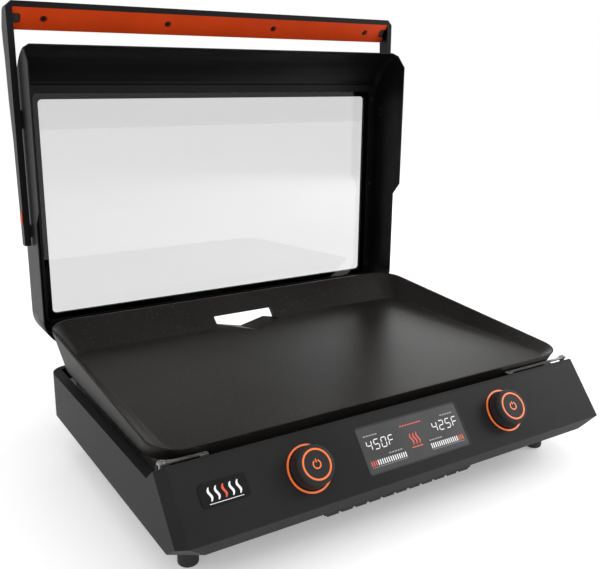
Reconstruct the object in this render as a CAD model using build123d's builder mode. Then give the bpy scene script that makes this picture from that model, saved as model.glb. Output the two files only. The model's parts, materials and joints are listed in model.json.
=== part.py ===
from build123d import *
import os
from math import atan2, cos, degrees, radians, sin

# Electric tabletop griddle: sloped-panel base, cast plate, glass-windowed hood on two rear hinges.
# Millimetres, +Z up, +X to the user's right, -Y towards the user. The row's origin is on the surface
# the feet stand on, under the middle of the machine, with the hood stored open.
# Every profile below is drawn from one datum, the middle of the control panel's top edge.

os.makedirs("parts", exist_ok=True)

# ---- driving dimensions --------------------------------------------------------------------------
datum_y = -206.756
datum_z = 131.0
foot_bottom = -131.0

sheet = 1.5
base_half = 306.0
panel_half = 295.0
panel_foot = (-51.5, -63.2)
panel_slope = degrees(atan2(63.2, 51.5))
base_bottom = -82.0
base_rear = 380.0
ledge_z = -21.2
ledge_width = 12.0
corner_set_back = 10.0

plate_bottom = -12.0
rim_front_y = 13.0
rim_front_z = 6.5
rim_rise = 0.072
rim_half = 299.4
rim_length = 395.5
rim_thickness = 2.2

hinge_y = 407.5
hinge_z = 1.5
hinge_x = 190.0
pin_radius = 2.5

hood_half = 302.0
hood_face = 463.0
hood_foot = -2.0
hood_corner = 40.0
corner_across = 9.0
corner_down = 6.0
corner_start = 24.0
corner_fade = 8.0
bend_radius = 80.0
bend_y = hood_face - bend_radius
bend_z = 328.0
lip = (408.0, 404.0)
window_half = 274.0
window_low = 31.0
window_high = 333.0

handle_half = 311.5
handle_inner = 303.0
knob_x = 144.4
knob_down = 40.4
knob_travel = 1.2
knob_hub_low = 6.0
light_ring_inner = 24.5
light_ring_outer = 26.5
peg_circle = 25.5
display_half = 75.3
display_top = 12.6
display_low = 68.0
pan_half = 282.0
pan_front = 10.0
pan_rear = 352.0
pan_floor = -109.5
foot_x = 264.0
foot_front_y = 24.0
foot_rear_y = 335.0
cup_x = -6.0
inlet_x = 120.0
inlet_z = -55.0

# ---- datum planes --------------------------------------------------------------------------------
datum = (0, datum_y, datum_z)
top_view = Plane(origin=datum)
side_view = Plane(origin=datum, x_dir=(0, 1, 0), z_dir=(1, 0, 0))
front_view = Plane(origin=datum, x_dir=(1, 0, 0), z_dir=(0, -1, 0))
panel_lean = radians(panel_slope)
panel_view = Plane(origin=datum, x_dir=(1, 0, 0), z_dir=(0, -sin(panel_lean), cos(panel_lean)))


def outline(plane, points):
    """A closed straight-sided outline drawn on a plane."""
    with BuildSketch(plane) as drawn:
        with BuildLine():
            Polyline(*points, close=True)
        make_face()
    return drawn.sketch


def rectangle(plane, low, high, radius=0.0):
    """A rectangle from its low corner to its high corner, its corners rounded."""
    with BuildSketch(plane) as drawn:
        with Locations(((low[0] + high[0]) / 2, (low[1] + high[1]) / 2)):
            Rectangle(high[0] - low[0], high[1] - low[1])
        if radius:
            fillet(drawn.vertices(), radius)
    return drawn.sketch


def centred(plane, middle, half_width, half_height, radius=0.0):
    """A rectangle about its middle, its corners rounded."""
    low = (middle[0] - half_width, middle[1] - half_height)
    high = (middle[0] + half_width, middle[1] + half_height)
    return rectangle(plane, low, high, radius)


def discs(plane, centres, radius, hole=0.0):
    """Equal discs or washers at the given centres."""
    with BuildSketch(plane) as drawn:
        with Locations(*centres):
            Circle(radius)
            if hole:
                Circle(hole, mode=Mode.SUBTRACT)
    return drawn.sketch


def save(piece, node):
    """Labels a finished piece with its node's name and writes it."""
    piece.part.label = node
    export_step(piece.part, "parts/" + node + ".step")


def both_sides(points):
    """The given points and their mirror images across the middle of the machine."""
    return [(side * x, y) for side in (-1, 1) for x, y in points]


def ring_pegs(centres):
    """Places of the three pegs that hold each light ring."""
    turns = [radians(angle) for angle in (90, 210, 330)]
    return [(x + peg_circle * cos(turn), y + peg_circle * sin(turn)) for x, y in centres for turn in turns]


# ---- base shell ----------------------------------------------------------------------------------
def base_form(inset, top_z):
    """The folded body's form, drawn in from the outside by the sheet's thickness."""
    slope = radians(panel_slope)
    facet_normal = Vector(corner_set_back, -11 * sin(slope), 11 * cos(slope)).normalized()
    lower_normal = Vector(376.0, -601.6, -788.0).normalized()
    corner = Vector(panel_half, datum_y, datum_z)
    lower_corner = Vector(panel_half, datum_y + panel_foot[0], datum_z + panel_foot[1])
    profile = [(0, 0), panel_foot, (-40, base_bottom), (base_rear, base_bottom), (base_rear, 60), (-30, 60)]
    with BuildPart() as form:
        with BuildSketch(side_view):
            with BuildLine():
                Polyline(*profile, close=True)
            make_face()
            offset(amount=-inset, kind=Kind.INTERSECTION)
        extrude(amount=base_half - inset, both=True)
        fillet(form.edges().filter_by(Axis.Z).group_by(Axis.Y)[-1], 26 - inset)
        for side in (-1, 1):
            for normal, point in ((facet_normal, corner), (lower_normal, lower_corner)):
                outward = Vector(side * normal.X, normal.Y, normal.Z)
                start = Vector(side * point.X, point.Y, point.Z) - outward * inset
                split(bisect_by=Plane(origin=start, z_dir=outward), keep=Keep.BOTTOM)
        extrude(rectangle(top_view.offset(top_z), (-400, -200), (400, 500)), amount=200, mode=Mode.SUBTRACT)
    return form.part


pan_screw = 1.5
pan_screw_centres = both_sides([(285, 90), (285, 270), (130, 358)])

with BuildPart() as base_shell:
    add(base_form(0.0, 0.0))
    add(base_form(sheet, 0.0), mode=Mode.SUBTRACT)
    # The side walls step down to a ledge behind the panel's corners.
    side_step = [(8.5, -5.5), (26, ledge_z), (500, ledge_z), (500, 20), (-20, 20), (0, 0)]
    for side in (-1, 1):
        x_plane = side_view.offset(side * (base_half - ledge_width))
        extrude(outline(x_plane, side_step), amount=side * 40, mode=Mode.SUBTRACT)
    extrude(rectangle(top_view.offset(ledge_z), (-400, 340), (400, 500)), amount=60, mode=Mode.SUBTRACT)
    # Everything above the ledge and behind the panel is open for the cooking plate.
    well = rectangle(top_view.offset(ledge_z), (-base_half + ledge_width, 9), (base_half - ledge_width, 500))
    extrude(well, amount=60, mode=Mode.SUBTRACT)
    # Ledge and its upstand, round three sides.
    ledge_inner = base_half - ledge_width
    ledge_back = base_rear - ledge_width
    ledge_front = 17.0
    with BuildSketch(top_view.offset(ledge_z)) as ledge_plan:
        with Locations((0, (ledge_front + base_rear - sheet / 2) / 2)):
            Rectangle(2 * base_half - sheet, base_rear - sheet / 2 - ledge_front)
        fillet(ledge_plan.vertices().group_by(Axis.Y)[-1], 25)
        with Locations((0, (ledge_front + ledge_back) / 2 - 5)):
            Rectangle(2 * ledge_inner - 2 * sheet, ledge_back - ledge_front + 10, mode=Mode.SUBTRACT)
    extrude(ledge_plan.sketch, amount=-sheet)
    with BuildSketch(top_view.offset(ledge_z)) as upstand_plan:
        with Locations((0, (26 + ledge_back) / 2)):
            Rectangle(2 * ledge_inner, ledge_back - 26)
        with Locations((0, (26 + ledge_back) / 2 - 10)):
            Rectangle(2 * ledge_inner - 2 * sheet, ledge_back - 26 + 17, mode=Mode.SUBTRACT)
    extrude(upstand_plan.sketch, amount=4.2)
    # The panel's top edge returns backwards and down.
    top_return = [(-0.6, -0.4), (8, -5), (7.2, -6.3), (-1.4, -1.7)]
    extrude(outline(side_view, top_return), amount=panel_half - 2, both=True)
    # Underside opening inside the bottom flange, which the bottom pan closes.
    pan_hole = rectangle(top_view.offset(base_bottom - 1), (-262, 20), (262, 344), 12)
    extrude(pan_hole, amount=6, mode=Mode.SUBTRACT)
    # Panel openings: display, encoder bushes, light-ring pegs.
    hole_low = (-display_half, -display_low)
    hole_high = (display_half, -display_top)
    display_hole = rectangle(panel_view.offset(-6), hole_low, hole_high, 4)
    extrude(display_hole, amount=12, mode=Mode.SUBTRACT)
    knob_centres = [(-knob_x, -knob_down), (knob_x, -knob_down)]
    extrude(discs(panel_view.offset(-6), knob_centres, 4.6), amount=12, mode=Mode.SUBTRACT)
    pegs = ring_pegs(knob_centres)
    extrude(discs(panel_view.offset(-6), pegs, 1.0), amount=12, mode=Mode.SUBTRACT)
    # Rear wall: socket opening and cooling slots.
    rear_plane = front_view.offset(-base_rear - 2)
    socket_low = (inlet_x - 13.3, inlet_z - 10.3)
    socket_high = (inlet_x + 13.3, inlet_z + 10.3)
    extrude(rectangle(rear_plane, socket_low, socket_high), amount=8, mode=Mode.SUBTRACT)
    with BuildSketch(rear_plane):
        for slot_x in range(-250, -210, 8):
            with Locations((slot_x, -50), (-slot_x, -50)):
                SlotOverall(26, 3, rotation=90)
    extrude(amount=8, mode=Mode.SUBTRACT)
    screw_holes = discs(top_view.offset(base_bottom - 1), pan_screw_centres, pan_screw)
    extrude(screw_holes, amount=4, mode=Mode.SUBTRACT)
save(base_shell, "base_shell")

# ---- bottom pan, vent and feet -------------------------------------------------------------------
foot_centres = both_sides([(foot_x, foot_front_y), (foot_x, foot_rear_y)])

with BuildPart() as bottom_pan:
    flange_low = (-pan_half - 6, pan_front)
    flange_high = (pan_half + 6, pan_rear + 12)
    flange = rectangle(top_view.offset(base_bottom), flange_low, flange_high, 10)
    extrude(flange, amount=-sheet)
    pan_depth = base_bottom - sheet - pan_floor
    tray = rectangle(top_view.offset(base_bottom - sheet), (-pan_half, pan_front), (pan_half, pan_rear), 16)
    extrude(tray, amount=-pan_depth)
    tray_low = (-pan_half + sheet, pan_front + sheet)
    tray_high = (pan_half - sheet, pan_rear - sheet)
    tray_inside = rectangle(top_view.offset(base_bottom), tray_low, tray_high, 14.5)
    extrude(tray_inside, amount=-pan_depth, mode=Mode.SUBTRACT)
    screw_holes = discs(top_view.offset(base_bottom + 1), pan_screw_centres, pan_screw)
    extrude(screw_holes, amount=-4, mode=Mode.SUBTRACT)
    extrude(discs(top_view.offset(pan_floor - 1), foot_centres, 2.7), amount=5, mode=Mode.SUBTRACT)
    with BuildSketch(top_view.offset(pan_floor - 1)):
        for slot_x in (-80, 80):
            with Locations((slot_x, 60)):
                with GridLocations(12, 0, 8, 1):
                    SlotOverall(40, 3.4, rotation=90)
    extrude(amount=5, mode=Mode.SUBTRACT)
save(bottom_pan, "bottom_pan")

with BuildPart() as pan_screws:
    extrude(discs(top_view.offset(base_bottom - sheet - 1.5), pan_screw_centres, 2.8), amount=1.5)
    extrude(discs(top_view.offset(base_bottom - sheet), pan_screw_centres, pan_screw), amount=2 * sheet + 1)
    with BuildSketch(top_view.offset(base_bottom - sheet - 1.5)):
        with Locations(*pan_screw_centres):
            Rectangle(3.6, 0.8)
            Rectangle(0.8, 3.6)
    extrude(amount=0.8, mode=Mode.SUBTRACT)
save(pan_screws, "pan_screws")

with BuildPart() as vent_grille:
    grille_top = base_bottom - 0.1
    box_outside = [(-8, -110), (9.7, -110), (9.7, grille_top), (-11, grille_top)]
    extrude(outline(side_view, box_outside), amount=111, both=True)
    box_inside = [(-6, -112), (7.7, -112), (7.7, -85), (-8.6, -85)]
    extrude(outline(side_view, box_inside), amount=109, both=True, mode=Mode.SUBTRACT)
    with BuildSketch(front_view.offset(20)):
        with Locations((0, -94.5)):
            with GridLocations(20, 7, 11, 2):
                SlotOverall(16, 3.5)
        with Locations((0, -111)):
            with GridLocations(20, 0, 12, 1):
                Rectangle(4, 6)
    extrude(amount=-21, mode=Mode.SUBTRACT)
save(vent_grille, "vent_grille")

foot_radius = 11.5
foot_names = {"front_left": (-foot_x, foot_front_y), "front_right": (foot_x, foot_front_y),
              "rear_left": (-foot_x, foot_rear_y), "rear_right": (foot_x, foot_rear_y)}
for place, centre in foot_names.items():
    with BuildPart() as foot:
        extrude(discs(top_view.offset(foot_bottom), [centre], foot_radius), amount=pan_floor - foot_bottom)
        fillet(foot.edges().group_by(Axis.Z)[0], 3)
        extrude(discs(top_view.offset(foot_bottom), [centre], 4.8), amount=10, mode=Mode.SUBTRACT)
        extrude(discs(top_view.offset(foot_bottom), [centre], 2.7), amount=30, mode=Mode.SUBTRACT)
    save(foot, "foot_" + place)

with BuildPart() as foot_screws:
    extrude(discs(top_view.offset(foot_bottom + 7), foot_centres, 4.5), amount=3)
    extrude(discs(top_view.offset(foot_bottom + 10), foot_centres, 2.5), amount=17)
    with BuildSketch(top_view.offset(pan_floor + sheet)):
        with Locations(*foot_centres):
            RegularPolygon(4.6, 6)
            Circle(2.5, mode=Mode.SUBTRACT)
    extrude(amount=4)
    with BuildSketch(top_view.offset(foot_bottom + 7)):
        with Locations(*foot_centres):
            RegularPolygon(2.2, 6)
    extrude(amount=1.8, mode=Mode.SUBTRACT)
save(foot_screws, "foot_screws")

# ---- cooking plate -------------------------------------------------------------------------------
# The rim lies in a plane that rises evenly from the low front to the high rear.
rim_plane = Plane(
    origin=(0, datum_y + rim_front_y, datum_z + rim_front_z),
    x_dir=(1, 0, 0),
    z_dir=(0, -rim_rise, 1),
)

with BuildPart() as griddle_plate:
    cast_foot = rectangle(top_view.offset(plate_bottom), (-296.5, 17.5), (296.5, 364), 50)
    cast_rim = rectangle(rim_plane, (-rim_half, 0), (rim_half, rim_length), 38)
    loft(sections=[cast_foot, cast_rim])
    fillet(griddle_plate.edges().group_by(Axis.Z)[0], 4)
    # Underside recess for the heating elements, inside a flat ring that carries the plate.
    recess = rectangle(top_view.offset(plate_bottom), (-276, 42), (276, 344), 22)
    extrude(recess, amount=5, mode=Mode.SUBTRACT)
    # Spout under the drain slot.
    spout = [(-62, 345), (50, 345), (50, 372), (34, 387), (-46, 387), (-62, 372)]
    extrude(outline(top_view.offset(-16), spout), amount=14)
    # Cooking space: walls that lean outwards to the thin rim, rounded where they meet the floor.
    hollow_floor = rectangle(top_view, (-278, 24), (278, 362), 20)
    hollow_low = (-rim_half + rim_thickness, rim_thickness)
    hollow_high = (rim_half - rim_thickness, rim_length - rim_thickness)
    hollow_rim = rectangle(rim_plane.offset(0.05), hollow_low, hollow_high, 36)
    with BuildPart(mode=Mode.PRIVATE) as hollow:
        loft(sections=[hollow_floor, hollow_rim])
        fillet(hollow.edges().group_by(Axis.Z)[0], 5)
    add(hollow.part, mode=Mode.SUBTRACT)
    # Drain slot through the rear wall.
    slot = rectangle(front_view.offset(-355), (-56, -1), (44, 13), 1.5)
    extrude(slot, amount=-60, mode=Mode.SUBTRACT)
    # V-shaped trough, from a point on the floor down to the spout's tip.
    trough_mouth = outline(front_view.offset(-392), [(-60, 0.02), (48, 0.02), (-6, -12.2)])
    trough_tip = Vertex(-8, datum_y + 320, datum_z + 0.01)
    with BuildPart(mode=Mode.PRIVATE) as trough:
        loft(sections=[trough_mouth, trough_tip])
    add(trough.part, mode=Mode.SUBTRACT)
save(griddle_plate, "griddle_plate")

# ---- what the plate sits on and is heated by -----------------------------------------------------
support_centres = both_sides([(281, 62), (281, 325)])

with BuildPart() as plate_supports:
    support_low = base_bottom + sheet
    extrude(discs(top_view.offset(support_low), support_centres, 4.0), amount=plate_bottom - support_low)
    extrude(discs(top_view.offset(-36), support_centres, 7.5), amount=3)
save(plate_supports, "plate_supports")

with BuildPart() as heat_shield:
    extrude(rectangle(top_view.offset(-33), (-289, 30), (289, 356), 8), amount=1)
    extrude(rectangle(top_view.offset(-32), (-272, 30), (272, 356), 8), amount=7)
    extrude(rectangle(top_view.offset(-32), (-271, 31), (271, 355), 7), amount=8, mode=Mode.SUBTRACT)
    extrude(discs(top_view.offset(-34), support_centres, 4.2), amount=4, mode=Mode.SUBTRACT)
    extrude(discs(top_view.offset(-34), [(-145, 190), (145, 190)], 4.5), amount=4, mode=Mode.SUBTRACT)
save(heat_shield, "heat_shield")

element_radius = 3.25
element_z = -10.7
for side, hand in ((-1, "left"), (1, "right")):
    legs = [250, 194, 138, 82, 26]
    route = [(side * legs[0], 318, -27)]
    for number, leg in enumerate(legs):
        ends = (318, 66) if number % 2 == 0 else (66, 318)
        route.append((side * leg, ends[0], element_z))
        route.append((side * leg, ends[1], element_z))
    route.append((side * legs[-1], 66, -27))
    stations = [(x, y + datum_y, z + datum_z) for x, y, z in route]
    with BuildPart() as element:
        with BuildLine() as run:
            FilletPolyline(*stations, radius=[6] + [16] * (len(stations) - 4) + [6])
        with BuildSketch(Plane(origin=stations[0], z_dir=(0, 0, 1))):
            Circle(element_radius)
        sweep(path=run.wires()[0])
    save(element, "heating_element_" + hand)

with BuildPart() as element_clamps:
    clamp_centres = [(-138, 130), (-138, 250), (138, 130), (138, 250)]
    with BuildSketch(top_view.offset(-15.8)):
        with Locations(*clamp_centres):
            Rectangle(262, 12)
    extrude(amount=1.5)
    with BuildSketch(top_view.offset(-14.3)):
        with Locations(*[(x + dx, y) for x, y in clamp_centres for dx in (-129.5, 129.5)]):
            Rectangle(3, 12)
    extrude(amount=7.3)
save(element_clamps, "element_clamps")

for side, hand in ((-1, "left"), (1, "right")):
    centre = [(side * 145 + 21 * side, 190)]
    with BuildPart() as temperature_probe:
        extrude(discs(top_view.offset(-32), centre, 8), amount=1.5)
        extrude(discs(top_view.offset(-30.5), centre, 4), amount=20)
        extrude(discs(top_view.offset(-10.5), centre, 2.5), amount=3.4)
        fillet(temperature_probe.edges().group_by(Axis.Z)[-1], 0.8)
    save(temperature_probe, "temperature_probe_" + hand)

# ---- corner brackets -----------------------------------------------------------------------------
# Flat strips in front of the plate: a round tab on each corner's post, an arm and a smaller end tab.
bracket_z = -2.2
post_x = 294.4
post_y = 13.4
stud_radius = 2.0
post_centres = [(-post_x, post_y), (post_x, post_y)]
for side, hand, arm_end in ((-1, "left", 254.0), (1, "right", 191.0)):
    eye = [(side * post_x, post_y)]
    with BuildPart() as front_bracket:
        with BuildSketch(top_view.offset(bracket_z)):
            with Locations(*eye):
                Circle(4.8)
            with BuildLine():
                Polyline(
                    (side * 292.5, 17.2),
                    (side * 282, 13.6),
                    (side * arm_end, 12.4),
                    (side * arm_end, 8.8),
                    (side * 291, 8.8),
                    close=True,
                )
            make_face()
            with Locations((side * (arm_end - 3.5), 9.4)):
                RectangleRounded(10, 7, 1.5)
            with Locations(*eye):
                Circle(stud_radius, mode=Mode.SUBTRACT)
            with Locations((side * (arm_end - 3.5), 9.8)):
                Circle(1.6, mode=Mode.SUBTRACT)
        extrude(amount=sheet)
        extrude(discs(top_view.offset(bracket_z + sheet), eye, 4.0, stud_radius), amount=0.8)
    save(front_bracket, "front_bracket_" + hand)

with BuildPart() as bracket_posts:
    post_low = base_bottom + sheet
    extrude(discs(top_view.offset(post_low), post_centres, 3.0), amount=bracket_z - post_low)
    extrude(discs(top_view.offset(bracket_z), post_centres, stud_radius), amount=sheet - 0.6)
save(bracket_posts, "bracket_posts")

# ---- control panel pieces ------------------------------------------------------------------------
badge_low = (-271, -49)
badge_high = (-217, -25)
with BuildPart() as badge:
    extrude(rectangle(panel_view, badge_low, badge_high, 5), amount=1.0)
    fillet(badge.faces().sort_by(Axis(datum, panel_view.z_dir))[-1].edges(), 0.3)
save(badge, "badge")

with BuildPart() as display_gasket:
    extrude(rectangle(panel_view.offset(-2.6), (-display_half + 0.1, -display_low + 0.1),
                      (display_half - 0.1, -display_top - 0.1), 3.9), amount=2.9)
    extrude(rectangle(panel_view.offset(-3), (-display_half + 1.4, -display_low + 1.4),
                      (display_half - 1.4, -display_top - 1.4), 3), amount=6, mode=Mode.SUBTRACT)
save(display_gasket, "display_gasket")

with BuildPart() as display_lens:
    extrude(rectangle(panel_view.offset(-2.4), (-display_half + 1.5, -display_low + 1.5),
                      (display_half - 1.5, -display_top - 1.5), 2.9), amount=2.0)
save(display_lens, "display_lens")

with BuildPart() as display_module:
    extrude(rectangle(panel_view.offset(-9.5), (-80, -70), (80, -11), 2), amount=6.8)
save(display_module, "display_module")

with BuildPart() as control_board:
    extrude(rectangle(panel_view.offset(-16.1), (-180, -66), (180, -13), 3), amount=1.6)
    extrude(rectangle(panel_view.offset(-14.5), (-60, -60), (60, -20), 2), amount=4.9)
    extrude(rectangle(panel_view.offset(-20), (-30, -45), (30, -30), 1), amount=3.9)
save(control_board, "control_board")

for side, hand in ((-1, "left"), (1, "right")):
    centre = [(side * knob_x, -knob_down)]
    with BuildPart() as light_ring:
        extrude(discs(panel_view, centre, light_ring_outer, light_ring_inner), amount=0.9)
        extrude(discs(panel_view.offset(-6), ring_pegs(centre), 0.95), amount=6)
    save(light_ring, hand + "_light_ring")

    with BuildPart() as encoder:
        body_low = (side * knob_x - 7, -knob_down - 7)
        body_high = (side * knob_x + 7, -knob_down + 7)
        extrude(rectangle(panel_view.offset(-14.5), body_low, body_high, 1), amount=12.9)
        # The bush stays clear of the knob's hub when the knob is pressed in.
        bush_top = knob_hub_low - knob_travel - 0.4
        extrude(discs(panel_view.offset(-1.6), centre, 4.5), amount=bush_top + 1.6)
        with BuildSketch(panel_view):
            with Locations(*centre):
                RegularPolygon(6.5, 6)
        extrude(amount=2)
        extrude(discs(panel_view.offset(-12), centre, 4.05), amount=20, mode=Mode.SUBTRACT)
    save(encoder, hand + "_encoder")

    with BuildPart() as press_plunger:
        extrude(discs(panel_view.offset(-10.6), centre, 4.0, 3.05), amount=13)
    save(press_plunger, hand + "_press_plunger")

    with BuildPart() as knob_shaft:
        extrude(discs(panel_view.offset(-10.8), centre, 3.0), amount=25.8)
        extrude(discs(panel_view.offset(2.6), centre, 3.9), amount=1.2)
        flat_low = (side * knob_x - 4, -knob_down + 2.0)
        flat_high = (side * knob_x + 4, -knob_down + 5)
        flat = rectangle(panel_view.offset(knob_hub_low), flat_low, flat_high)
        extrude(flat, amount=10, mode=Mode.SUBTRACT)
    save(knob_shaft, hand + "_knob_shaft")

    knob_foot = panel_view.from_local_coords(Vector(side * knob_x, -knob_down, 0))
    knob_plane = Plane(origin=knob_foot, x_dir=(1, 0, 0), z_dir=-panel_view.y_dir)
    underside = [(0, knob_hub_low), (19.5, knob_hub_low), (20.5, 5), (20.5, 2.4)]
    flank = [(23, 2.4), (22.8, 6), (22.2, 15.5), (20.6, 18), (18.8, 18.5)]
    face_groove = [(17.3, 18.5), (17.3, 17.3), (15.0, 17.3), (15.0, 18.2), (0, 18.2)]
    with BuildPart() as knob:
        with BuildSketch(knob_plane):
            with BuildLine():
                Polyline(*underside, *flank, *face_groove, close=True)
            make_face()
        revolve(axis=Axis(knob_plane.origin, panel_view.z_dir))
        extrude(discs(panel_view.offset(5.5), centre, 3.03), amount=10.2, mode=Mode.SUBTRACT)
        key_low = (side * knob_x - 3, -knob_down + 2.05)
        key_high = (side * knob_x + 3, -knob_down + 4)
        extrude(rectangle(panel_view.offset(knob_hub_low), key_low, key_high), amount=9.6)
        extrude(discs(panel_view.offset(3.9), centre, 19.4, 8.0), amount=10, mode=Mode.SUBTRACT)
    save(knob, hand + "_knob")

    with BuildPart() as knob_ring:
        extrude(discs(panel_view.offset(17.3), centre, 17.2, 15.1), amount=1.4)
        fillet(knob_ring.faces().sort_by(Axis(datum, panel_view.z_dir))[-1].edges(), 0.3)
    save(knob_ring, hand + "_knob_ring")

# ---- power supply --------------------------------------------------------------------------------
standoff_centres = [(x, y) for x in (70, 230) for y in (210, 310)]
with BuildPart() as board_standoffs:
    extrude(discs(top_view.offset(pan_floor + sheet), standoff_centres, 3.5), amount=10)
save(board_standoffs, "board_standoffs")

with BuildPart() as power_board:
    extrude(rectangle(top_view.offset(-98), (60, 200), (240, 320), 3), amount=1.6)
    extrude(rectangle(top_view.offset(-96.4), (80, 215), (110, 245), 1), amount=22)
    extrude(rectangle(top_view.offset(-96.4), (130, 220), (185, 250), 1), amount=30)
    extrude(discs(top_view.offset(-96.4), [(100, 285), (130, 285)], 9), amount=24)
    extrude(rectangle(top_view.offset(-96.4), (180, 270), (225, 305), 1), amount=14)
save(power_board, "power_board")

with BuildPart() as power_inlet:
    extrude(centred(front_view.offset(-base_rear), (inlet_x, inlet_z), 20, 15, 4), amount=-2.5)
    extrude(centred(front_view.offset(-base_rear + 26), (inlet_x, inlet_z), 13, 10, 2), amount=-26)
    socket = centred(front_view.offset(-base_rear + 18), (inlet_x, inlet_z), 11.5, 8, 3)
    extrude(socket, amount=-24, mode=Mode.SUBTRACT)
    for across, up in ((-7, -2), (0, 3), (7, -2)):
        blade = centred(front_view.offset(-base_rear + 19), (inlet_x + across, inlet_z + up), 1, 2)
        extrude(blade, amount=-13)
save(power_inlet, "power_inlet")

# ---- hinges --------------------------------------------------------------------------------------
hinge_axis = [(hinge_y, hinge_z)]
ear_top = [(base_rear, -28), (400.5, 3.5), (404, 7), (410, 7), (414, 2), (413.9, -2.9), (424, -4.5)]
ear_foot = [(424, -9), (410, -14), (386, -66), (383, -72), (base_rear, -72)]
ear_outline = ear_top + ear_foot
for side, hand in ((-1, "left"), (1, "right")):
    x = side * hinge_x
    with BuildPart() as hinge_bracket:
        extrude(rectangle(front_view.offset(-base_rear), (x - 20, -76), (x + 20, -28), 4), amount=-2.5)
        extrude(outline(side_view.offset(x + 10.2), ear_outline), amount=2.5)
        extrude(outline(side_view.offset(x - 12.7), ear_outline), amount=2.5)
        extrude(rectangle(top_view.offset(-9), (x - 12.7, 416), (x + 12.7, 424)), amount=4.5)
        pin_bore = discs(side_view.offset(x - 20), hinge_axis, pin_radius)
        extrude(pin_bore, amount=40, mode=Mode.SUBTRACT)
    save(hinge_bracket, "hinge_bracket_" + hand)

    with BuildPart() as hinge_pin:
        extrude(discs(side_view.offset(x - 14.5), hinge_axis, pin_radius), amount=29)
        extrude(discs(side_view.offset(x + 12.7), hinge_axis, 4.2), amount=1.8)
        extrude(discs(side_view.offset(x - 14.5), hinge_axis, 4.2), amount=1.8)
    save(hinge_pin, "hinge_pin_" + hand)

    with BuildPart() as hinge_leaf:
        extrude(discs(side_view.offset(x - 9.8), hinge_axis, 4.8), amount=19.6)
        web = [(hinge_y, -0.5), (418.5, -0.5), (418.5, 1.3), (hinge_y, 6)]
        extrude(outline(side_view.offset(x - 9.8), web), amount=19.6)
        extrude(rectangle(top_view.offset(-0.5), (x - 16, 417.5), (x + 16, 440), 1.5), amount=1.8)
        running_bore = discs(side_view.offset(x - 12), hinge_axis, pin_radius + 0.05)
        extrude(running_bore, amount=24, mode=Mode.SUBTRACT)
        leaf_holes = [(x + dx, y) for dx in (-10, 10) for y in (425, 434)]
        extrude(discs(top_view.offset(-2), leaf_holes, 1.7), amount=6, mode=Mode.SUBTRACT)
    save(hinge_leaf, "hinge_leaf_" + hand)

leaf_rivet_centres = [(side * hinge_x + dx, y) for side in (-1, 1) for dx in (-10, 10) for y in (425, 434)]
with BuildPart() as leaf_rivets:
    extrude(discs(top_view.offset(-3), leaf_rivet_centres, 1.7), amount=5)
    extrude(discs(top_view.offset(1.3), leaf_rivet_centres, 3), amount=1.2)
    extrude(discs(top_view.offset(-3), leaf_rivet_centres, 3), amount=1)
save(leaf_rivets, "leaf_rivets")

# ---- grease cup ----------------------------------------------------------------------------------
cup_half = 43.0
cup_middle = (cup_x, 406)
rail_rear = 430.0
with BuildPart() as grease_cup:
    extrude(centred(top_view.offset(-88), cup_middle, cup_half, 21, 8), amount=56)
    cup_inside = centred(top_view.offset(-86.5), cup_middle, cup_half - sheet, 21 - sheet, 6.5)
    extrude(cup_inside, amount=60, mode=Mode.SUBTRACT)
    # Runners along both sides, then the pull at the back.
    for side in (-1, 1):
        runner = centred(top_view.offset(-33.5), (cup_x + side * (cup_half + 2.1), 406), 2.9, 14)
        extrude(runner, amount=sheet)
    extrude(centred(front_view.offset(-427), (cup_x, -45), 14, 7, 3), amount=-10)
    extrude(centred(front_view.offset(-426), (cup_x, -40), 12, 10, 2), amount=-9.5, mode=Mode.SUBTRACT)
    extrude(centred(front_view.offset(-424), (cup_x, -45), 12, 5, 2), amount=-3)
save(grease_cup, "grease_cup")

with BuildPart() as cup_rail:
    extrude(centred(front_view.offset(-base_rear), (cup_x, -44.5), 52, 15.5, 4), amount=-2)
    rail_middle = (base_rear + rail_rear) / 2
    rail_reach = (rail_rear - base_rear) / 2
    # Each rail is a C-channel: floor, outer wall and top lip, given by offset from the cup and half width.
    for side in (-1, 1):
        for level, out, half, height in ((-36, 47.5, 3.5, 2), (-36, 50.25, 0.75, 7), (-31, 48.5, 2.5, 1.5)):
            strip = centred(top_view.offset(level), (cup_x + side * out, rail_middle), half, rail_reach)
            extrude(strip, amount=height)
save(cup_rail, "cup_rail")

# ---- hood ----------------------------------------------------------------------------------------
lip_angle = atan2(lip[1] - bend_z, lip[0] - bend_y)
bend_axis = Axis((0, datum_y + bend_y, datum_z + bend_z), (1, 0, 0))


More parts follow.
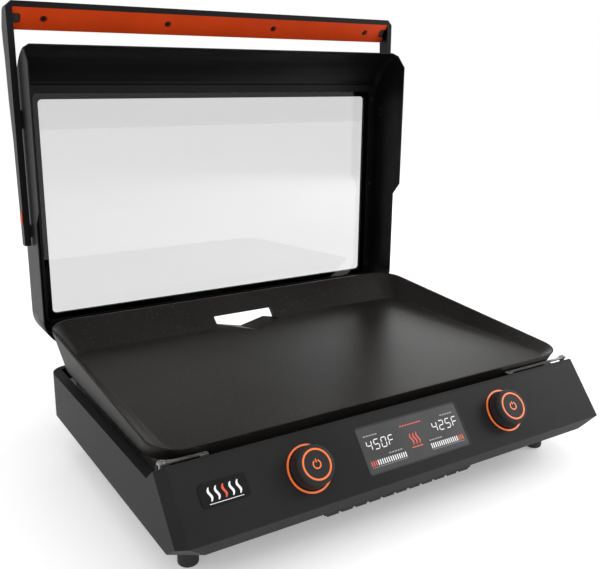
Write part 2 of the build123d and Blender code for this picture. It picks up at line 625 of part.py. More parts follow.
def hood_form(inset):
    """The hood's folded form as a closed block, drawn in by the sheet's thickness."""
    radius = bend_radius - inset
    bend_end = (bend_y + radius * cos(lip_angle), bend_z + radius * sin(lip_angle))
    bend_middle = (bend_y + radius * cos(lip_angle / 2), bend_z + radius * sin(lip_angle / 2))
    foot_z = hood_foot + inset
    face_y = hood_face - inset
    with BuildPart() as form:
        with BuildSketch(side_view):
            with BuildLine():
                inner_side = [bend_end, (330, bend_end[1] - 0.01), (330, foot_z)]
                Polyline(*inner_side, (face_y, foot_z), (face_y, bend_z))
                ThreePointArc((face_y, bend_z), bend_middle, bend_end)
            make_face()
        extrude(amount=hood_half - inset, both=True)
        foot_edges = form.edges().filter_by(Axis.Y).group_by(Axis.Z)[0]
        fillet(foot_edges, hood_corner - inset)
        # The corner where the bend meets the sides is broken, fading out before the flat face.
        wide = corner_across - inset * 0.82
        deep = corner_down - inset * 0.55
        for side in (-1, 1):
            edge = side * (hood_half - inset)
            corner_cut = [(edge - side * wide, face_y), (edge + side, face_y + 1), (edge, face_y - deep)]
            full_cut = outline(top_view.offset(bend_z), corner_cut).rotate(bend_axis, corner_start)
            revolve(full_cut, axis=bend_axis, revolution_arc=90, mode=Mode.SUBTRACT)
            fade = Vertex(edge, datum_y + face_y, datum_z + bend_z).rotate(bend_axis, corner_fade)
            loft(sections=[full_cut.face(), fade], mode=Mode.SUBTRACT)
    return form.part


with BuildPart() as hood_shell:
    add(hood_form(0.0))
    add(hood_form(sheet), mode=Mode.SUBTRACT)
    # Free edges of the side skirts: deep towards the front, stepped up towards the hinges.
    skirt_edge = [(403, -10), (403, 172), (386.5, 191), (386.5, 381), lip, (lip[0], 420)]
    cut_away = outline(side_view, [(300, -10), *skirt_edge, (300, 420)])
    extrude(cut_away, amount=310, both=True, mode=Mode.SUBTRACT)
    # Free edge of the rear wall, cut back for the hinges and above the drain spout.
    extrude(rectangle(top_view.offset(-6), (-262, 380), (262, 410)), amount=10, mode=Mode.SUBTRACT)
    for side in (-1, 1):
        notch = rectangle(top_view.offset(-6), (side * hinge_x - 19, 380), (side * hinge_x + 19, 416))
        extrude(notch, amount=10, mode=Mode.SUBTRACT)
    extrude(rectangle(top_view.offset(-6), (-74, 380), (64, 441), 4), amount=10, mode=Mode.SUBTRACT)
    # Window opening.
    window = rectangle(front_view.offset(-440), (-window_half, window_low), (window_half, window_high), 6)
    extrude(window, amount=-40, mode=Mode.SUBTRACT)
    extrude(discs(top_view.offset(-6), leaf_rivet_centres, 1.7), amount=8, mode=Mode.SUBTRACT)
    handle_rivet_centres = [(443, 303), (443, 312)]
    extrude(discs(side_view.offset(-310), handle_rivet_centres, 1.6), amount=620, mode=Mode.SUBTRACT)
save(hood_shell, "hood_shell")

# ---- window --------------------------------------------------------------------------------------
glass_back = 459.2
glass_front = 455.2
flange_back = 460.8
frame_front = 453.6
screw_places = both_sides([(292, 328), (292, 184), (292, 38)])


def window_outline(y, grow, radius):
    """The window's outline in the plane at y, grown all round."""
    low = (-window_half - grow, window_low - grow)
    high = (window_half + grow, window_high + grow)
    return rectangle(front_view.offset(-y), low, high, radius)


with BuildPart() as window_glass:
    extrude(window_outline(glass_front, 10, 7), amount=glass_front - glass_back)
save(window_glass, "window_glass")

with BuildPart() as window_gasket:
    extrude(window_outline(glass_back, 9, 8), amount=glass_back - hood_face + sheet)
    extrude(window_outline(440, 0.5, 6), amount=-40, mode=Mode.SUBTRACT)
    # The top band is thinned to follow the start of the bend.
    with BuildSketch(side_view):
        with Locations((462, 344)):
            Rectangle(20, 32)
        with Locations((bend_y, bend_z)):
            Circle(bend_radius - sheet - 0.05, mode=Mode.SUBTRACT)
    extrude(amount=320, both=True, mode=Mode.SUBTRACT)
save(window_gasket, "window_gasket")

with BuildPart() as window_frame:
    # Flange against the hood's face at the sides and the foot.
    with BuildSketch(front_view.offset(-glass_back)) as flange_plan:
        with Locations((0, (5 + 338) / 2)):
            Rectangle(598, 333)
        fillet(flange_plan.vertices().group_by(Axis.Y)[0], 35)
    extrude(amount=glass_back - flange_back)
    # Raised ring that holds the edge of the glass, with a flange of its own at the top, clear of the bend.
    extrude(window_outline(frame_front, 12, 9), amount=frame_front - glass_back - 0.3)
    extrude(rectangle(front_view.offset(-frame_front), (-296, 340), (296, 352), 4), amount=-sheet)
    rebate = window_outline(glass_front, 10.3, 7.3)
    extrude(rebate, amount=glass_front - flange_back - 1, mode=Mode.SUBTRACT)
    extrude(window_outline(440, 8, 6), amount=-40, mode=Mode.SUBTRACT)
    extrude(discs(front_view.offset(-440), screw_places, 2.1), amount=-40, mode=Mode.SUBTRACT)
save(window_frame, "window_frame")

with BuildPart() as window_screws:
    extrude(discs(front_view.offset(-glass_back), screw_places, 3.5), amount=1.8)
    fillet(window_screws.edges().group_by(Axis.Y)[0], 0.7)
    extrude(discs(front_view.offset(-glass_back), screw_places, 2.0), amount=-2.2)
    with BuildSketch(front_view.offset(-glass_back + 1.8)):
        with Locations(*screw_places):
            Rectangle(4.2, 0.9)
            Rectangle(0.9, 4.2)
    extrude(amount=-1.1, mode=Mode.SUBTRACT)
save(window_screws, "window_screws")

# ---- handle --------------------------------------------------------------------------------------
arm_foot = 139.0
bar_front = (437, 457)
bar_ridge = (458, 446)
bar_back = (466, 425)
arm_back = [(465, 406), (462, 388), (459, 333), (452, 277), (449, 200), (446, arm_foot)]
grip_low = (454, 422)
strip_low_z = 449.5
corner_reach = 761.0


def corner_facets(reach):
    """Wedges that cut the U's two upper corners across; reach is x plus z along the cut."""
    with BuildPart() as wedges:
        for side in (-1, 1):
            wedge = [(side * (reach - 460), 460), (side * 320, 460), (side * 320, reach - 320)]
            extrude(outline(front_view.offset(-425), wedge), amount=-50)
    return wedges.part


def channel_inside():
    """The space inside the channel: open at the back along the arms, closed round the bar."""
    with BuildPart() as inside:
        with BuildSketch(side_view):
            with BuildLine():
                Polyline((433, 80), bar_front, bar_ridge, bar_back, (466, 80), close=True)
            make_face()
            offset(amount=-sheet, kind=Kind.INTERSECTION)
            with Locations((470, 230)):
                Rectangle(40, 389)
        extrude(amount=handle_half - sheet, both=True)
        add(corner_facets(corner_reach - sheet * 1.414), mode=Mode.SUBTRACT)
    return inside.part


with BuildPart() as handle_frame:
    handle_profile = [(433, arm_foot), bar_front, bar_ridge, bar_back] + arm_back
    extrude(outline(side_view, handle_profile), amount=handle_half, both=True)
    fillet(handle_frame.edges().filter_by(Axis.X).group_by(Axis.Z)[0], 1)
    add(corner_facets(corner_reach), mode=Mode.SUBTRACT)
    add(channel_inside(), mode=Mode.SUBTRACT)
    # Inside of the front flange.
    between_arms = rectangle(front_view.offset(-420), (-handle_inner, 60), (handle_inner, strip_low_z))
    extrude(between_arms, amount=-19.5, mode=Mode.SUBTRACT)
    # Feet that carry the arms off the hood's sides.
    for side in (-1, 1):
        for low, high in ((296, 320), (150, 166)):
            pad_start = side_view.offset(side * hood_half)
            extrude(rectangle(pad_start, (437.5, low), (447, high)), amount=side * sheet)
            web_start = side_view.offset(side * (hood_half + sheet))
            for rib in (low, high - sheet):
                extrude(rectangle(web_start, (437.5, rib), (446, rib + sheet)), amount=side * 7)
    extrude(discs(side_view.offset(-306), handle_rivet_centres, 1.6), amount=612, mode=Mode.SUBTRACT)
save(handle_frame, "handle_frame")

grip_end = handle_inner - 0.3
grip_slope = atan2(27.3, 17.2)
grip_face = Plane(
    origin=(0, datum_y + 445.4, datum_z + 435.65),
    x_dir=(1, 0, 0),
    z_dir=(0, -sin(grip_slope), -cos(grip_slope)),
)
grip_screw_places = [(x, 0) for x in (-262, -87, 87, 262)]
grip_section = [(436.7, 449.3), grip_low, (463.6, 423.4), (456.5, 443.0), (439.0, 452.6), (439.0, 449.3)]
with BuildPart() as handle_grip:
    extrude(outline(side_view, grip_section), amount=grip_end, both=True)
    with BuildSketch(grip_face.offset(1)) as end_notches:
        with Locations((-grip_end, 0), (grip_end, 0)):
            RectangleRounded(22, 14, 3)
    extrude(end_notches.sketch, amount=-5, mode=Mode.SUBTRACT)
    extrude(discs(grip_face.offset(1), grip_screw_places, 5), amount=-4, mode=Mode.SUBTRACT)
    extrude(discs(grip_face, grip_screw_places, 1.6), amount=-30, mode=Mode.SUBTRACT)
save(handle_grip, "handle_grip")

with BuildPart() as grip_screws:
    extrude(discs(grip_face.offset(-3), grip_screw_places, 3.6), amount=1.8)
    fillet(grip_screws.edges().group_by(Axis(grip_face.origin, grip_face.z_dir))[-1], 0.6)
    extrude(discs(grip_face.offset(-3), grip_screw_places, 1.5), amount=-9.5)
    with BuildSketch(grip_face.offset(-1.2)):
        with Locations(*grip_screw_places):
            Rectangle(4.2, 0.9)
            Rectangle(0.9, 4.2)
    extrude(amount=-1, mode=Mode.SUBTRACT)
save(grip_screws, "grip_screws")

with BuildPart() as handle_rivets:
    for side in (-1, 1):
        inside = side_view.offset(side * (hood_half - sheet))
        extrude(discs(inside, handle_rivet_centres, 1.6), amount=side * 2 * sheet)
        extrude(discs(inside, handle_rivet_centres, 3.2), amount=side * -1.2)
        outside = side_view.offset(side * (hood_half + sheet))
        extrude(discs(outside, handle_rivet_centres, 3.2), amount=side * 1.2)
save(handle_rivets, "handle_rivets")

with BuildPart() as arm_accents:
    for side in (-1, 1):
        accent = rectangle(side_view.offset(side * handle_half), (435.5, 168), (445.5, 186), 1)
        extrude(accent, amount=side * 0.8)
save(arm_accents, "arm_accents")
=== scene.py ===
import json
from math import atan2, cos, pi, radians, sin

import bmesh
import bpy
from mathutils import Matrix, Vector


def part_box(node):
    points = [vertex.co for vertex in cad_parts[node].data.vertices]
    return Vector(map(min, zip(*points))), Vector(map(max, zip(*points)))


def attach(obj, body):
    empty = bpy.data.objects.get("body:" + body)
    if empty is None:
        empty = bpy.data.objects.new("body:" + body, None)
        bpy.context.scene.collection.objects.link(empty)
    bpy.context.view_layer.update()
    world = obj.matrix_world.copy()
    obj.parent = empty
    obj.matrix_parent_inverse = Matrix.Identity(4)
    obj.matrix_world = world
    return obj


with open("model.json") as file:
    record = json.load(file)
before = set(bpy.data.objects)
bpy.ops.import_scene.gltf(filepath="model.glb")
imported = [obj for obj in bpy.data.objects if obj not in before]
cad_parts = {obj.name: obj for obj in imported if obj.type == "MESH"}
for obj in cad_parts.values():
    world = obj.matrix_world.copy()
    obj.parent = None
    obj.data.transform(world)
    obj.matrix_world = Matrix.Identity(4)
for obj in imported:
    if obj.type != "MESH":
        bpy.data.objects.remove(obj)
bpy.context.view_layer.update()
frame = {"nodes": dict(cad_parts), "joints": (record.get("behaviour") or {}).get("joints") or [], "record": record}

nodes = frame["nodes"]
scene = bpy.context.scene
scene.view_settings.view_transform = "Standard"

MM = 0.001

# ---- camera: seen from the front left, a little above the hood's middle --------------------------
camera_data = bpy.data.cameras.new("camera")
camera = bpy.data.objects.new("camera", camera_data)
scene.collection.objects.link(camera)
scene.camera = camera
camera_data.lens = 47.47
camera_data.sensor_width = 36.0
yaw, pitch, roll = radians(32.50), radians(15.13), radians(-0.66)
camera_place = Vector((-0.5612, -0.863756, 0.5056))
forward = Vector((sin(yaw) * cos(pitch), cos(yaw) * cos(pitch), -sin(pitch)))
right = Vector((cos(yaw), -sin(yaw), 0.0))
down = forward.cross(right)
tilted_right = right * cos(roll) + down * sin(roll)
tilted_down = down * cos(roll) - right * sin(roll)
turn = Matrix((tilted_right, -tilted_down, -forward)).transposed()
camera.matrix_world = Matrix.Translation(camera_place) @ turn.to_4x4()

# ---- studio --------------------------------------------------------------------------------------
world = bpy.data.worlds.new("studio")
scene.world = world
world.use_nodes = True
world.node_tree.nodes["Background"].inputs["Color"].default_value = (1.0, 1.0, 1.0, 1.0)
world.node_tree.nodes["Background"].inputs["Strength"].default_value = 1.0


def area_light(name, place, target, size, power):
    """A soft rectangular light at a place, turned to a target; power is in watts."""
    data = bpy.data.lights.new(name, "AREA")
    data.shape = "RECTANGLE"
    data.size, data.size_y = size
    data.energy = power
    lamp = bpy.data.objects.new(name, data)
    scene.collection.objects.link(lamp)
    lamp.location = place
    lamp.rotation_euler = (Vector(target) - Vector(place)).to_track_quat("-Z", "Y").to_euler()
    return lamp


area_light("key_light", (2.0, -0.9, 1.3), (0.3, 0.0, 0.1), (0.9, 0.9), 24.0)
area_light("left_light", (-1.5, -1.7, 1.7), (-0.2, -0.1, 0.1), (1.0, 1.0), 6.0)
area_light("top_light", (0.0, 0.4, 2.4), (0.0, 0.0, 0.1), (2.0, 1.2), 3.0)
area_light("sheen_light", (1.9, 2.1, 0.85), (0.2, -0.1, 0.13), (1.0, 0.6), 5.0)


# ---- materials -----------------------------------------------------------------------------------
def material(name, roughness=0.5, metallic=0.0, gloss=0.5):
    """A new material with its node tree and its main shader."""
    made = bpy.data.materials.new(name)
    made.use_nodes = True
    shader = made.node_tree.nodes["Principled BSDF"]
    shader.inputs["Roughness"].default_value = roughness
    shader.inputs["Metallic"].default_value = metallic
    shader.inputs["Specular IOR Level"].default_value = gloss
    return made, made.node_tree, shader


def noise(tree, scale, detail=4.0, roughness=0.55, stretch=None):
    """Noise in the piece's own coordinates; stretch scales its axes apart, as brushing does."""
    place = tree.nodes.new("ShaderNodeTexCoord")
    texture = tree.nodes.new("ShaderNodeTexNoise")
    texture.inputs["Scale"].default_value = scale
    texture.inputs["Detail"].default_value = detail
    texture.inputs["Roughness"].default_value = roughness
    source = place.outputs["Object"]
    if stretch:
        mapping = tree.nodes.new("ShaderNodeMapping")
        mapping.inputs["Scale"].default_value = stretch
        tree.links.new(source, mapping.inputs["Vector"])
        source = mapping.outputs["Vector"]
    tree.links.new(source, texture.inputs["Vector"])
    return texture.outputs["Fac"]


def ramp(tree, source, stops):
    """Colours picked along a value, from stops of a position and a colour."""
    made = tree.nodes.new("ShaderNodeValToRGB")
    elements = made.color_ramp.elements
    while len(elements) < len(stops):
        elements.new(0.5)
    for element, (position, colour) in zip(elements, stops):
        element.position = position
        element.color = (*colour, 1.0) if len(colour) == 3 else colour
    tree.links.new(source, made.inputs["Fac"])
    return made.outputs["Color"]


def bump(tree, shader, source, strength, distance):
    """Fine relief on the shader's surface from a value."""
    made = tree.nodes.new("ShaderNodeBump")
    made.inputs["Strength"].default_value = strength
    made.inputs["Distance"].default_value = distance
    tree.links.new(source, made.inputs["Height"])
    tree.links.new(made.outputs["Normal"], shader.inputs["Normal"])


def spread(tree, socket, source, low, high):
    """Drives a socket between two values with a source that runs from 0 to 1."""
    made = tree.nodes.new("ShaderNodeMapRange")
    made.inputs["To Min"].default_value = low
    made.inputs["To Max"].default_value = high
    tree.links.new(source, made.inputs["Value"])
    tree.links.new(made.outputs["Result"], socket)


def powder_coat(name, dark, light, rough, gloss):
    """Satin powder coat: a slow change of tone under a very fine grain."""
    made, tree, shader = material(name, rough, gloss=gloss)
    blotch = noise(tree, 14.0, 5.0)
    tree.links.new(ramp(tree, blotch, [(0.3, dark), (0.7, light)]), shader.inputs["Base Color"])
    grain = noise(tree, 1900.0, 2.0, 0.6)
    spread(tree, shader.inputs["Roughness"], grain, rough - 0.07, rough + 0.07)
    bump(tree, shader, grain, 0.35, 0.00018)
    return made


def finished(name, dark, light, rough, scale, metallic=0.0, gloss=0.5, bump_strength=0.2, stretch=None):
    """A grained surface whose tone, roughness and relief follow one noise."""
    made, tree, shader = material(name, rough, metallic, gloss)
    grain = noise(tree, scale, 4.0, 0.55, stretch)
    tree.links.new(ramp(tree, grain, [(0.3, dark), (0.7, light)]), shader.inputs["Base Color"])
    spread(tree, shader.inputs["Roughness"], grain, rough - 0.06, rough + 0.06)
    bump(tree, shader, grain, bump_strength, 0.0001)
    return made


def plate_coating():
    """Dark non-stick coating with small copper-coloured specks in patches."""
    made, tree, shader = material("plate_coating", 0.38, gloss=0.10)
    blotch = noise(tree, 9.0, 6.0)
    ground = ramp(tree, blotch, [(0.3, (0.0075, 0.0066, 0.0059)), (0.7, (0.012, 0.0106, 0.0095))])
    place = tree.nodes.new("ShaderNodeTexCoord")
    specks = tree.nodes.new("ShaderNodeTexVoronoi")
    specks.inputs["Scale"].default_value = 420.0
    tree.links.new(place.outputs["Object"], specks.inputs["Vector"])
    mask = ramp(tree, specks.outputs["Distance"], [(0.10, (1, 1, 1)), (0.22, (0, 0, 0))])
    patchy = ramp(tree, noise(tree, 260.0, 1.0), [(0.55, (0, 0, 0)), (0.62, (1, 1, 1))])
    both = tree.nodes.new("ShaderNodeMath")
    both.operation = "MULTIPLY"
    tree.links.new(mask, both.inputs[0])
    tree.links.new(patchy, both.inputs[1])
    mixed = tree.nodes.new("ShaderNodeMix")
    mixed.data_type = "RGBA"
    mixed.inputs["B"].default_value = (0.16, 0.085, 0.045, 1.0)
    tree.links.new(both.outputs["Value"], mixed.inputs["Factor"])
    tree.links.new(ground, mixed.inputs["A"])
    tree.links.new(mixed.outputs["Result"], shader.inputs["Base Color"])
    grain = noise(tree, 700.0, 3.0)
    spread(tree, shader.inputs["Roughness"], grain, 0.30, 0.46)
    bump(tree, shader, grain, 0.25, 0.0002)
    return made


def glowing(name, colour, strength):
    """An evenly glowing piece: light from behind on the display and power marks, painted glow on the badge's
    print.
    """
    made, tree, shader = material(name, 0.35)
    tint = noise(tree, 120.0)
    shade = tuple(c * 0.85 for c in colour)
    tree.links.new(ramp(tree, tint, [(0.3, shade), (0.7, colour)]), shader.inputs["Base Color"])
    shader.inputs["Emission Color"].default_value = (*colour, 1.0)
    shader.inputs["Emission Strength"].default_value = strength
    return made


def clear_glass():
    """Slightly grey tempered glass."""
    made, tree, shader = material("window_glass", 0.02)
    shader.inputs["Transmission Weight"].default_value = 1.0
    shader.inputs["IOR"].default_value = 1.45
    grain = noise(tree, 6.0, 2.0)
    tint = ramp(tree, grain, [(0.3, (0.638, 0.638, 0.640)), (0.7, (0.646, 0.646, 0.648))])
    tree.links.new(tint, shader.inputs["Base Color"])
    return made


paints = {
    "base_coat": powder_coat("base_coat", (0.0125, 0.0125, 0.0127), (0.0165, 0.0165, 0.0167), 0.46, 0.08),
    "hood_coat": powder_coat("hood_coat", (0.003, 0.003, 0.0032), (0.005, 0.005, 0.0052), 0.40, 0.12),
    "plate_coating": plate_coating(),
    "vent_plastic": finished("vent_plastic", (0.006, 0.006, 0.006), (0.012, 0.012, 0.012), 0.6, 800.0),
    "foot_rubber": finished("foot_rubber", (0.008, 0.008, 0.008), (0.014, 0.014, 0.014), 0.75, 1200.0),
    "black_rubber": finished("black_rubber", (0.008, 0.008, 0.008), (0.014, 0.014, 0.014), 0.7, 1200.0),
    "zinc_steel": finished("zinc_steel", (0.30, 0.30, 0.29), (0.48, 0.48, 0.46), 0.38, 160.0, 0.9),
    "cup_steel": finished(
        "cup_steel", (0.38, 0.38, 0.38), (0.52, 0.52, 0.52), 0.3, 30.0, 1.0, stretch=(1.0, 1.0, 40.0)
    ),
    "element_sheath": finished("element_sheath", (0.06, 0.055, 0.05), (0.12, 0.11, 0.10), 0.55, 500.0, 0.6),
    "badge_plastic": finished(
        "badge_plastic", (0.004, 0.004, 0.004), (0.006, 0.006, 0.006), 0.3, 300.0, gloss=0.15
    ),
    "display_face": finished(
        "display_face", (0.048, 0.048, 0.050), (0.060, 0.060, 0.062), 0.3, 25.0, gloss=0.15
    ),
    "board_plastic": finished("board_plastic", (0.03, 0.03, 0.03), (0.06, 0.06, 0.06), 0.5, 400.0),
    "circuit_board": finished("circuit_board", (0.01, 0.06, 0.025), (0.02, 0.10, 0.045), 0.4, 500.0),
    "window_glass": clear_glass(),
    "black_screw": finished("black_screw", (0.012, 0.012, 0.012), (0.03, 0.03, 0.03), 0.4, 900.0, 0.6),
    "orange_grip": powder_coat("orange_grip", (0.44, 0.034, 0.003), (0.52, 0.045, 0.005), 0.42, 0.12),
    "orange_light": glowing("orange_light", (0.80, 0.15, 0.025), 0.22),
    "knob_plastic": finished(
        "knob_plastic", (0.014, 0.014, 0.0142), (0.020, 0.020, 0.0203), 0.5, 1500.0, gloss=0.15
    ),
}

# Radius in millimetres of the soft edge on each painted or moulded surface.
BEVELLED = {
    "base_coat": 0.5,
    "hood_coat": 0.5,
    "plate_coating": 0.8,
    "vent_plastic": 0.4,
    "orange_grip": 0.5,
}
slot_of = {row["node"]: row["material_slot"] for row in frame["record"]["subparts"]}
for node, shape in nodes.items():
    shape.data.materials.clear()
    shape.data.materials.append(paints[slot_of[node]])
    if slot_of[node] in BEVELLED:
        weld = shape.modifiers.new("joined_corners", "WELD")
        weld.merge_threshold = 0.01 * MM
        bevel = shape.modifiers.new("worn_edges", "BEVEL")
        bevel.width = BEVELLED[slot_of[node]] * MM
        bevel.segments = 2
        bevel.limit_method = "ANGLE"
        bevel.angle_limit = radians(28)
        bevel.harden_normals = True

# ---- graphics on the sloped panel, placed from the knobs' axes -----------------------------------
joints = {joint["name"]: joint for joint in frame["joints"]}
panel_normal = Vector(joints["left_knob_turn"]["axis"]).normalized()
panel_up = panel_normal.cross(Vector((1.0, 0.0, 0.0)))
knob_place = {hand: Vector(joints[hand + "_knob_turn"]["pos_m"]) for hand in ("left", "right")}
panel_middle = (knob_place["left"] + knob_place["right"]) / 2


def on_panel(origin, x, up, out):
    """A point on the panel's slope, in metres; x, up and out are in millimetres."""
    return origin + (Vector((1.0, 0.0, 0.0)) * x + panel_up * up + panel_normal * out) * MM


def slabs(name, origin, shapes, out, thickness, paint, body):
    """Thin flat shapes standing on the panel's slope, as one piece; sizes are in millimetres."""
    shape_mesh = bmesh.new()
    for outline in shapes:
        low = [shape_mesh.verts.new(on_panel(origin, x, up, out)) for x, up in outline]
        high = [shape_mesh.verts.new(on_panel(origin, x, up, out + thickness)) for x, up in outline]
        shape_mesh.faces.new(high)
        shape_mesh.faces.new(low[::-1])
        for i in range(len(low)):
            j = (i + 1) % len(low)
            shape_mesh.faces.new((low[i], low[j], high[j], high[i]))
    bmesh.ops.recalc_face_normals(shape_mesh, faces=shape_mesh.faces)
    mesh = bpy.data.meshes.new(name)
    shape_mesh.to_mesh(mesh)
    shape_mesh.free()
    piece = bpy.data.objects.new(name, mesh)
    scene.collection.objects.link(piece)
    mesh.materials.append(paint)
    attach(piece, body)
    return piece


SEGMENTS = {"4": "bcfg", "5": "acdfg", "0": "abcdef", "2": "abdeg", "F": "aefg"}
DIGIT_WIDTH, DIGIT_HEIGHT, DIGIT_PITCH, DIGIT_SLANT = 6.4, 10.8, 10.2, 0.10


def segment_outlines(character, x, up):
    """The lit strokes of one seven-segment character; x and up are its lower left corner."""
    half = DIGIT_HEIGHT / 2
    width = DIGIT_WIDTH
    runs = {
        "a": ((0, DIGIT_HEIGHT), (width, DIGIT_HEIGHT)),
        "b": ((width, DIGIT_HEIGHT), (width, half)),
        "c": ((width, half), (width, 0)),
        "d": ((0, 0), (width, 0)),
        "e": ((0, half), (0, 0)),
        "f": ((0, DIGIT_HEIGHT), (0, half)),
        "g": ((0, half), (width, half)),
    }
    made = []
    for key in SEGMENTS[character]:
        start, end = (Vector(p) for p in runs[key])
        along = (end - start).normalized()
        side = Vector((-along.y, along.x)) * 0.52
        start = start + along * 0.35
        end = end - along * 0.35
        points = [start, start + along * 0.5 + side, end - along * 0.5 + side,
                  end, end - along * 0.5 - side, start + along * 0.5 - side]
        made.append([(x + p.x + DIGIT_SLANT * p.y, up + p.y) for p in points])
    return made


def bar_outline(x, up, width, height):
    """A rectangle from its lower left corner."""
    return [(x, up), (x + width, up), (x + width, up + height), (x, up + height)]


def wave_outline(x, up, height, width):
    """One rising wave of a heat symbol."""
    steps = [i / 14 for i in range(15)]
    left = [(x + 1.3 * sin(2 * pi * t) - width * sin(pi * (0.15 + 0.7 * t)), up + height * t) for t in steps]
    back = [(x + 1.3 * sin(2 * pi * t) + width * sin(pi * (0.15 + 0.7 * t)), up + height * t) for t in steps]
    return left + back[::-1]


def quads_between(inner, outer):
    """Four-sided outlines that fill the band between two rows of points."""
    return [[inner[i], inner[i + 1], outer[i + 1], outer[i]] for i in range(len(inner) - 1)]


def arc_points(radius, start, end, count=40):
    """Points along an arc about the origin, from a start to an end angle in degrees."""
    angles = [radians(start + (end - start) * i / count) for i in range(count + 1)]
    return [(radius * cos(a), radius * sin(a)) for a in angles]


# White and red glowing materials: real light on the display's marks, painted glow on the badge's printed marks.
white_lit_and_painted_glow = glowing("white_lit_and_painted_glow", (0.78, 0.78, 0.78), 0.15)
red_lit_and_painted_glow = glowing("red_lit_and_painted_glow", (0.62, 0.07, 0.03), 0.25)
grey_ink = finished("grey_ink", (0.25, 0.25, 0.25), (0.30, 0.30, 0.30), 0.5, 300.0)
LENS_FACE = -0.4
BADGE_FACE = 1.0
KNOB_FACE = 18.3
ink = 0.05

# Two temperature read-outs, each over a bar gauge whose outer bars are red.
white_shapes, red_shapes, grey_shapes = [], [], []
DIGITS_UP, GAUGE_UP, GAUGE_LINE_UP = -0.6, -18.2, -20.0
for text, start in (("450F", -66.5), ("425F", 29.5)):
    for number, character in enumerate(text):
        white_shapes += segment_outlines(character, start + number * DIGIT_PITCH, DIGITS_UP)
bar_count, bar_pitch, bar_width, bar_height = 17, 3.0, 1.3, 5.8
for start, hot in ((-68.3, range(3)), (18.6, range(14, 17))):
    for number in range(bar_count):
        shape = bar_outline(start + number * bar_pitch, GAUGE_UP, bar_width, bar_height)
        (red_shapes if number in hot else white_shapes).append(shape)
    grey_shapes.append(bar_outline(start, GAUGE_LINE_UP, bar_pitch * bar_count - 1.4, 0.45))

# Plain dashes where captions would be.
CAPTION_UP, GAUGE_CAPTION_UP, DASH, DASH_GAP, DASH_HEIGHT = 15.2, -9.2, 3.0, 1.0, 1.3
captions = (
    (-67.0, CAPTION_UP, 22.0),
    (46.0, CAPTION_UP, 22.0),
    (-41.0, GAUGE_CAPTION_UP, 23.0),
    (18.6, GAUGE_CAPTION_UP, 23.0),
)
for start, up, length in captions:
    for number in range(int(length / (DASH + DASH_GAP))):
        grey_shapes.append(bar_outline(start + number * (DASH + DASH_GAP), up, DASH, DASH_HEIGHT))

# The heat symbol in the middle: three waves over a line, under a row of red dashes.
WAVE_STEP = 4.6
for number in range(3):
    red_shapes.append(wave_outline((number - 1) * WAVE_STEP, -8.0, 13.5, 0.95))
red_shapes.append(bar_outline(-8.0, -11.2, 16.0, 1.1))
for number in range(8):
    red_shapes.append(bar_outline(-15.0 + number * 4.0, 15.4, 2.9, 1.2))
slabs("display_white_marks", panel_middle, white_shapes, LENS_FACE, ink, white_lit_and_painted_glow, "base")
slabs("display_red_marks", panel_middle, red_shapes, LENS_FACE, ink, red_lit_and_painted_glow, "base")
slabs("display_grey_marks", panel_middle, grey_shapes, LENS_FACE, ink, grey_ink, "base")

for hand in ("left", "right"):
    ring = quads_between(arc_points(3.75, 118, 422), arc_points(5.15, 118, 422))
    ring.append(bar_outline(-0.65, 1.9, 1.3, 4.0))
    slabs(
        hand + "_power_mark", knob_place[hand], ring, KNOB_FACE, 0.12, paints["orange_light"],
        hand + "_knob",
    )

badge_low, badge_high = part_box("badge")
badge_middle = (badge_low + badge_high) / 2
badge_x = badge_middle.x / MM
badge_up = (badge_middle - panel_middle).dot(panel_up) / MM
# Painted glow: the badge's white print is given an emissive glow, though print gives off no light.
badge_white = [wave_outline(badge_x + step, badge_up - 7.0, 14.0, 1.4) for step in (-16.0, -8.0, 8.0, 16.0)]
badge_white.append(bar_outline(badge_x - 19.0, badge_up - 9.8, 38.0, 0.6))
# Painted glow: the badge's orange print is given an emissive glow too.
badge_orange = [wave_outline(badge_x, badge_up - 7.0, 14.0, 1.4)]
slabs("badge_white_marks", panel_middle, badge_white, BADGE_FACE, ink, white_lit_and_painted_glow, "base")
slabs("badge_orange_mark", panel_middle, badge_orange, BADGE_FACE, ink, red_lit_and_painted_glow, "base")

# ---- black stops that hold the grip's two ends ---------------------------------------------------
grip_low, grip_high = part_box("handle_grip")
FACE_DEPTH, FACE_HEIGHT = 17.3, 27.3
face_middle = Vector((0.0, grip_low.y + FACE_DEPTH / 2 * MM, grip_low.z + FACE_HEIGHT / 2 * MM))
grip_slope = atan2(27.3, 17.2)
grip_down = Vector((0.0, cos(grip_slope), -sin(grip_slope)))
grip_out = Vector((0.0, -sin(grip_slope), -cos(grip_slope)))
STOP_HALF_WIDTH, STOP_HALF_HEIGHT, STOP_CORNER = 4.6, 5.6, 2.4
STOP_FROM_END = 5.2


def rounded_outline(half_width, half_height, radius, steps=6):
    """A rounded rectangle's points about its middle, in millimetres."""
    points = []
    for number, (side, rise) in enumerate(((1, 1), (-1, 1), (-1, -1), (1, -1))):
        for step in range(steps + 1):
            turn = radians(90.0 * number + 90.0 * step / steps)
            across = side * (half_width - radius) + radius * cos(turn)
            points.append((across, rise * (half_height - radius) + radius * sin(turn)))
    return points


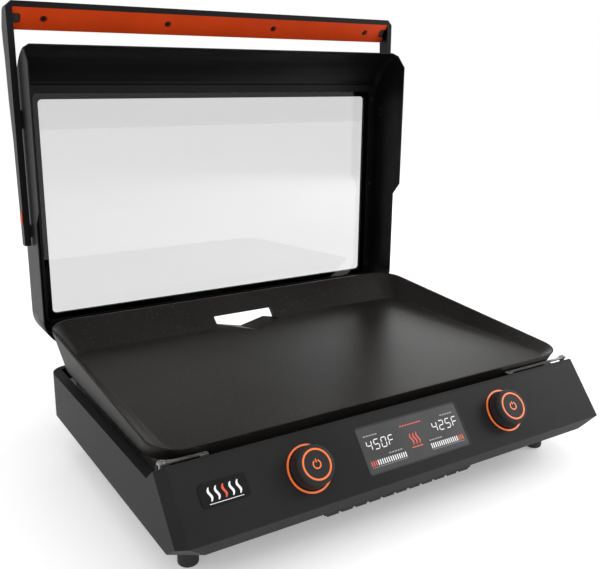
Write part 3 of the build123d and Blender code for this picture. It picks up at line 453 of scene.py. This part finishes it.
def on_grip(origin, x, up, out):
    """A point on the grip's sloped face, in metres; x, up and out are in millimetres."""
    return origin + (Vector((x, 0.0, 0.0)) + grip_down * up + grip_out * out) * MM


for hand, side, edge in (("left", -1, grip_low.x), ("right", 1, grip_high.x)):
    stop_mesh = bmesh.new()
    middle = face_middle + Vector((edge - side * STOP_FROM_END * MM, 0.0, 0.0))
    rows = []
    # foot, shoulder and rounded-over top of the stop: growth of its outline and depth from the grip's face
    for grow, out in ((0.0, -3.9), (0.0, -1.1), (-0.5, -0.6)):
        outline = rounded_outline(STOP_HALF_WIDTH + grow, STOP_HALF_HEIGHT + grow, STOP_CORNER)
        rows.append([stop_mesh.verts.new(on_grip(middle, x, up, out)) for x, up in outline])
    for lower, upper in zip(rows, rows[1:]):
        for i in range(len(lower)):
            j = (i + 1) % len(lower)
            stop_mesh.faces.new((lower[i], lower[j], upper[j], upper[i]))
    stop_mesh.faces.new(rows[0][::-1])
    stop_mesh.faces.new(rows[-1])
    bmesh.ops.recalc_face_normals(stop_mesh, faces=stop_mesh.faces)
    mesh = bpy.data.meshes.new(hand + "_grip_stop")
    stop_mesh.to_mesh(mesh)
    stop_mesh.free()
    stop = bpy.data.objects.new(hand + "_grip_stop", mesh)
    scene.collection.objects.link(stop)
    mesh.materials.append(paints["black_rubber"])
    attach(stop, "hood")

# ---- floor ---------------------------------------------------------------------------------------
floor_mesh = bpy.data.meshes.new("floor")
floor_mesh.from_pydata([(-6, -6, 0), (6, -6, 0), (6, 6, 0), (-6, 6, 0)], [], [(0, 1, 2, 3)])
floor = bpy.data.objects.new("floor", floor_mesh)
scene.collection.objects.link(floor)
floor.location.z = -0.0005
floor_paint, floor_tree, floor_shader = material("floor", 0.7, gloss=0.1)
floor_tint = ramp(floor_tree, noise(floor_tree, 3.0), [(0.3, (0.78, 0.78, 0.78)), (0.7, (0.80, 0.80, 0.80))])
floor_tree.links.new(floor_tint, floor_shader.inputs["Base Color"])
floor_shader.inputs["Emission Color"].default_value = (1.0, 1.0, 1.0, 1.0)
floor_shader.inputs["Emission Strength"].default_value = 0.30
floor_mesh.materials.append(floor_paint)
